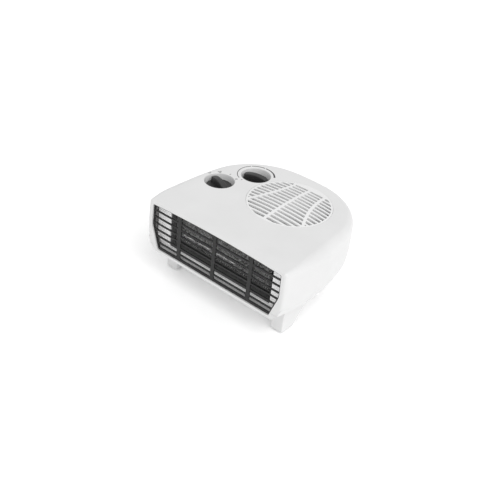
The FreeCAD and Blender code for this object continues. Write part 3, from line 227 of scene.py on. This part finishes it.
def loft(bm, rings, last_flat=True):
    """A closed skin through rings of points, with flat ends; a last ring may close onto itself."""
    loops = [[bm.verts.new(point) for point in ring] for ring in rings]
    count = len(loops[0])
    for low, high in zip(loops, loops[1:]):
        for i in range(count):
            j = (i + 1) % count
            bm.faces.new((low[i], low[j], high[j], high[i]))
    bm.faces.new(list(reversed(loops[0])))
    if last_flat:
        bm.faces.new(loops[-1])
    else:
        bmesh.ops.remove_doubles(bm, verts=loops[-1], dist=0.02 * MM)


def centre_of(node):
    """The middle of a CAD node's box."""
    low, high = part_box(node)
    return (Vector(low) + Vector(high)) / 2


def softened(node, radius, finish=None):
    """A copy of a CAD node with its sharp edges rounded, which stands for the node."""
    flat_angle = 0.5
    least_angle = 35.0
    bm = bmesh.new()
    bm.from_mesh(nodes[node].data)
    bmesh.ops.remove_doubles(bm, verts=bm.verts, dist=0.01 * MM)
    bmesh.ops.dissolve_limit(bm, angle_limit=math.radians(flat_angle), verts=bm.verts, edges=bm.edges)
    edges = [edge for edge in bm.edges if len(edge.link_faces) == 2
             and math.degrees(edge.calc_face_angle()) > least_angle]
    bmesh.ops.bevel(bm, geom=edges, offset=radius, segments=2, profile=0.5,
                    affect="EDGES", clamp_overlap=True)
    add_piece(node + "_soft", bm, slot_of(node), "housing", node, finish=finish)


# ---------------------------------------------------------------- knobs

def stadium(half, radius, count):
    """A bar with round ends along X, as points around it."""
    straight = half - radius
    points = []
    quarter = count // 4
    for side in (1, -1):
        for i in range(quarter):
            turn = math.pi * (i / (quarter - 1) - 0.5)
            points.append((side * (straight + radius * math.cos(turn)), side * radius * math.sin(turn)))
        for i in range(1, quarter + 1):
            x = straight - 2 * straight * i / (quarter + 1)
            points.append((side * x, side * radius))
    return points


def add_disc(bm, radius, bottom, top):
    """The knob's disc: a finely milled edge and a shallow recess in its top."""
    teeth = 60
    count = teeth * 4
    tooth_depth = 0.12 * MM
    recess = top - 0.25 * MM
    profile = (
        (radius - 0.3 * MM, bottom, 0), (radius, bottom + 0.3 * MM, 1),
        (radius, top - 0.55 * MM, 1), (radius - 0.15 * MM, top - 0.2 * MM, 1),
        (radius - 0.55 * MM, top, 0), (radius - 1.5 * MM, top, 0),
        (radius - 2.0 * MM, recess, 0), (4.0 * MM, recess, 0),
    )
    rings = []
    for reach, z, milled in profile:
        ring = []
        for i in range(count):
            angle = 2 * math.pi * i / count
            r = reach - milled * tooth_depth * (1 + math.cos(teeth * angle))
            ring.append((r * math.cos(angle), r * math.sin(angle), z))
        rings.append(ring)
    loft(bm, rings)


def add_grip(bm, base, crest):
    """The knob's grip bar: round ends, an arched top with a soft edge, and finger ridges."""
    half = 18.75 * MM
    width = 4.8 * MM
    fall = 3.5 * MM
    edge = 1.3 * MM
    ridge_height = 0.16 * MM
    ridge_pitch = 1.9 * MM

    def ring_at(share, inset, drop):
        """A ring at a share of the height below the soft edge, or at a drop below the arch."""
        ring = []
        for x, y in stadium(half - inset, width - inset, 160):
            fade = min(1.0, share * 1.6)
            ridge = ridge_height * (1 + math.cos(2 * math.pi * x / ridge_pitch)) * fade
            sideways = 1 - ridge / width if abs(x) < half - width else 1
            arch = crest - fall * (x / half) ** 2
            z = base + (arch - edge - base) * share if drop is None else arch - drop
            ring.append((x, y * sideways, z))
        return ring

    rings = [ring_at(share, 0.0, None) for share in (0.0, 0.12, 0.45, 0.75, 0.93)]
    for i in range(6):
        angle = math.radians(18 * i)
        rings.append(ring_at(1.0, edge * (1 - math.cos(angle)), edge * (1 - math.sin(angle))))
    for inset in (2.4 * MM, 3.6 * MM, width):
        rings.append(ring_at(1.0, inset, 0.0))
    loft(bm, rings, last_flat=False)


def add_knob(node, body, turn):
    """A knob of a disc and a grip, turned about its own axis."""
    low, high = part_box(node)
    disc_top = low[2] + 2.2 * MM
    bm = bmesh.new()
    add_disc(bm, (high[0] - low[0]) / 2, low[2], disc_top)
    add_grip(bm, disc_top - 0.4 * MM, high[2])
    middle = centre_of(node)
    move = Matrix.Translation((middle.x, middle.y, 0)) @ Matrix.Rotation(math.radians(turn), 4, "Z")
    bmesh.ops.transform(bm, matrix=move, verts=bm.verts)
    add_piece(node + "_moulded", bm, "knob_plastic", body, node)


# ---------------------------------------------------------------- print on the top cover

skin = BVHTree.FromObject(nodes["top_cover"], bpy.context.evaluated_depsgraph_get())
INK = 0.06 * MM


def top_point(x, y, rise):
    """The place on the top cover under a plan position, moved up by a little."""
    hit = skin.ray_cast(Vector((x, y, 1.0)), Vector((0, 0, -1)))[0]
    return (x, y, hit.z + rise)


def ink_line(bm, path, widths):
    """A thin closed layer of ink along a path in plan."""
    rings = []
    for i, (x, y) in enumerate(path):
        before = Vector(path[max(i - 1, 0)])
        after = Vector(path[min(i + 1, len(path) - 1)])
        along = (after - before).normalized()
        side = Vector((-along.y, along.x)) * widths[i] / 2
        rings.append([top_point(x + side.x, y + side.y, -INK), top_point(x - side.x, y - side.y, -INK),
                      top_point(x - side.x, y - side.y, INK), top_point(x + side.x, y + side.y, INK)])
    loft(bm, rings)


def ink_arc(bm, centre, radius, start, end, first_width, last_width):
    """Ink along an arc between two angles in degrees; its width changes evenly."""
    step = 0.9 * MM
    count = max(4, int(abs(end - start) * radius / step * math.pi / 180))
    path = []
    widths = []
    for i in range(count + 1):
        angle = math.radians(start + (end - start) * i / count)
        path.append((centre[0] + radius * math.cos(angle), centre[1] + radius * math.sin(angle)))
        widths.append(first_width + (last_width - first_width) * i / count)
    ink_line(bm, path, widths)


def direction(angle):
    """The direction in plan at an angle in degrees from +X."""
    return Vector((math.cos(math.radians(angle)), math.sin(math.radians(angle))))


def polar(centre, radius, angle):
    """The place in plan at a distance and an angle from a centre."""
    turn = math.radians(angle)
    return Vector((centre.x + radius * math.cos(turn), centre.y + radius * math.sin(turn)))


def add_function_marks():
    """Generic marks of the function switch: off, fan, one bar and two bars."""
    off_angle, fan_angle, low_angle, high_angle = 165, 130, 93, 58
    reach = 25.9 * MM
    line = 0.8 * MM
    half_gap = 0.9 * MM
    bm = bmesh.new()
    centre = centre_of("function_knob")
    ink_arc(bm, polar(centre, reach, off_angle), 1.6 * MM, 0, 357, line, line)
    for turn in (90, 210, 330):
        petal = polar(centre, reach, fan_angle) + direction(turn) * 1.7 * MM
        ink_arc(bm, petal, 1.1 * MM, turn - 150, turn + 150, line, line)
    for angle, offsets in ((low_angle, (0,)), (high_angle, (-half_gap, half_gap))):
        for offset in offsets:
            spot = polar(centre, reach, angle) + direction(angle + 90) * offset
            path = [tuple(spot + direction(angle) * step * MM) for step in (-1.8, 0, 1.8)]
            ink_line(bm, path, [line] * 3)
    add_piece("function_marks", bm, "knob_plastic", "housing")


def add_thermostat_marks():
    """The thermostat's band in three pieces, thin to thick, and a small ring before its start."""
    reach = 27.7 * MM
    first = 245.0
    last = 33.0
    thin = 1.0 * MM
    thick = 2.7 * MM
    half_gap = 1.5
    steps = 6
    ring_angle = 259
    ring_radius = 0.9 * MM
    ring_line = 0.5 * MM

    def width(angle):
        """The band's width at an angle."""
        share = (first - angle) / (first - last)
        return thin + (thick - thin) * share ** 2.2

    bm = bmesh.new()
    centre = centre_of("thermostat_knob")
    stops = [first, 143.0, 97.0, last]
    for start, end in zip(stops, stops[1:]):
        start = start - (half_gap if start < first else 0)
        end = end + (half_gap if end > last else 0)
        for i in range(steps):
            a = start + (end - start) * i / steps
            b = start + (end - start) * (i + 1) / steps
            ink_arc(bm, centre, reach, a, b, width(a), width(b))
    ring_centre = polar(centre, reach, ring_angle)
    ink_arc(bm, ring_centre, ring_radius, 0, 355, ring_line, ring_line)
    add_piece("thermostat_marks", bm, "knob_plastic", "housing")


# ---------------------------------------------------------------- heating element

def add_ribbons(node, gaps):
    """Fine pleated ribbons that fill gaps between the boards."""
    gap_count = 4
    board = 0.8 * MM
    fold = 1.6 * MM
    sheet = 0.3 * MM
    clearance = 0.15 * MM
    boards_low, boards_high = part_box("mica_boards")
    low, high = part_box(node)
    pitch = (boards_high[2] - boards_low[2] - board) / gap_count
    front = boards_low[1] + 0.4 * MM
    back = front + 8.0 * MM
    bm = bmesh.new()
    for gap in gaps:
        bottom = boards_low[2] + board + gap * pitch + clearance
        top = bottom + pitch - board - 2 * clearance - sheet
        count = int((high[0] - low[0]) / fold)
        rings = []
        for i in range(count + 1):
            x = low[0] + i * fold
            z = bottom if i % 2 else top
            rings.append([(x, front, z), (x, back, z), (x, back, z + sheet), (x, front, z + sheet)])
        loft(bm, rings)
    add_piece(node + "_pleated", bm, "heating_alloy", "housing", node)


def add_sleeve():
    """Braided sleeve along the front of the element, drawn in at both ends on its wire."""
    strands = 6
    around = 36
    row_pitch = 0.45 * MM
    lay_pitch = 2.6 * MM
    neck_length = 3.0 * MM
    neck_share = 0.45
    tight_share = 0.8
    mean_share = 0.95
    weave_share = 0.05
    low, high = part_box("thermal_fuse_sleeve")
    radius = (high[2] - low[2]) / 2 * tight_share
    middle = centre_of("thermal_fuse_sleeve")
    length = high[0] - low[0]
    rows = int(length / row_pitch)
    rings = []
    for row in range(rows + 1):
        share = row / rows
        x = low[0] + length * share
        end = min(share, 1 - share) * length
        neck = min(1.0, neck_share + end / neck_length)
        ring = []
        for i in range(around):
            angle = 2 * math.pi * i / around
            lay = x / lay_pitch * math.pi
            weave = weave_share * math.sin(strands * angle + lay) * math.sin(strands * angle - lay)
            r = radius * neck * (mean_share + weave)
            ring.append((x, middle.y + r * math.cos(angle), middle.z + r * math.sin(angle)))
        rings.append(ring)
    bm = bmesh.new()
    loft(bm, rings)
    add_piece("fuse_sleeve_braid", bm, "sleeve_glass_fibre", "housing", "thermal_fuse_sleeve")


add_knob("function_knob", "function_control", 160.0)
add_knob("thermostat_knob", "thermostat_control", 195.0)
add_function_marks()
add_thermostat_marks()
add_ribbons("heating_ribbon_low", (0, 1))
add_ribbons("heating_ribbon_high", (2, 3))
add_sleeve()
softened("outlet_grille", 0.3 * MM)
softened("inlet_grille", 0.45 * MM, "inlet_white")


# ---------------------------------------------------------------- stage

def add_floor():
    """A pale floor with a faint glow, which fills the photograph's view."""
    reach = 8.0
    glow = 0.13
    mesh = bpy.data.meshes.new("floor")
    corners = [(-reach, -reach, 0), (reach, -reach, 0), (reach, reach, 0), (-reach, reach, 0)]
    mesh.from_pydata(corners, [], [(0, 1, 2, 3)])
    floor = bpy.data.objects.new("floor", mesh)
    bpy.context.scene.collection.objects.link(floor)
    material, tree, shader, place = new_material("studio_floor")
    tone = noise(tree, place, 3.0)
    tree.links.new(ramp(tree, tone, grey(0.94), grey(0.95)), shader.inputs["Base Color"])
    shader.inputs["Roughness"].default_value = 0.9
    shader.inputs["Specular IOR Level"].default_value = 0.1
    shader.inputs["Emission Color"].default_value = (1, 1, 1, 1)
    shader.inputs["Emission Strength"].default_value = glow
    floor.data.materials.append(material)


def add_sun(name, energy, softness, azimuth, elevation):
    """A soft distant light; the azimuth is counted from +X towards +Y."""
    light = bpy.data.lights.new(name, "SUN")
    light.angle = math.radians(softness)
    light.energy = energy
    item = bpy.data.objects.new(name, light)
    bpy.context.scene.collection.objects.link(item)
    flat = math.cos(math.radians(elevation))
    towards = Vector((flat * math.cos(math.radians(azimuth)), flat * math.sin(math.radians(azimuth)),
                      math.sin(math.radians(elevation))))
    item.rotation_euler = towards.to_track_quat("Z", "Y").to_euler()


def add_lights():
    """An even white sky and one very soft sun from the right, a little to the front."""
    sky = 0.75
    world = bpy.data.worlds.new("studio")
    world.use_nodes = True
    world.node_tree.nodes["Background"].inputs["Color"].default_value = (1, 1, 1, 1)
    world.node_tree.nodes["Background"].inputs["Strength"].default_value = sky
    bpy.context.scene.world = world
    add_sun("key", 1.4, 55.0, -18.0, 50.0)


def add_camera():
    """The photograph's viewpoint: seen from the front right and above, slightly rolled."""
    azimuth = math.radians(35.35)
    elevation = math.radians(34.43)
    roll = math.radians(7.13)
    distance = 1.08676
    target = Vector((0.00585, -0.03631, 0.06402))
    back = Vector((math.sin(azimuth) * math.cos(elevation), -math.cos(azimuth) * math.cos(elevation),
                   math.sin(elevation)))
    right = Vector((math.cos(azimuth), math.sin(azimuth), 0))
    up = back.cross(right)
    across = right * math.cos(roll) + up * math.sin(roll)
    upright = up * math.cos(roll) - right * math.sin(roll)
    data = bpy.data.cameras.new("camera")
    data.sensor_width = 36.0
    data.lens = 55.39
    camera = bpy.data.objects.new("camera", data)
    bpy.context.scene.collection.objects.link(camera)
    turn = Matrix((across, upright, back)).transposed()
    camera.matrix_world = Matrix.Translation(target + back * distance) @ turn.to_4x4()
    bpy.context.scene.camera = camera


add_floor()
add_lights()
add_camera()
bpy.context.scene.view_settings.view_transform = "Standard"
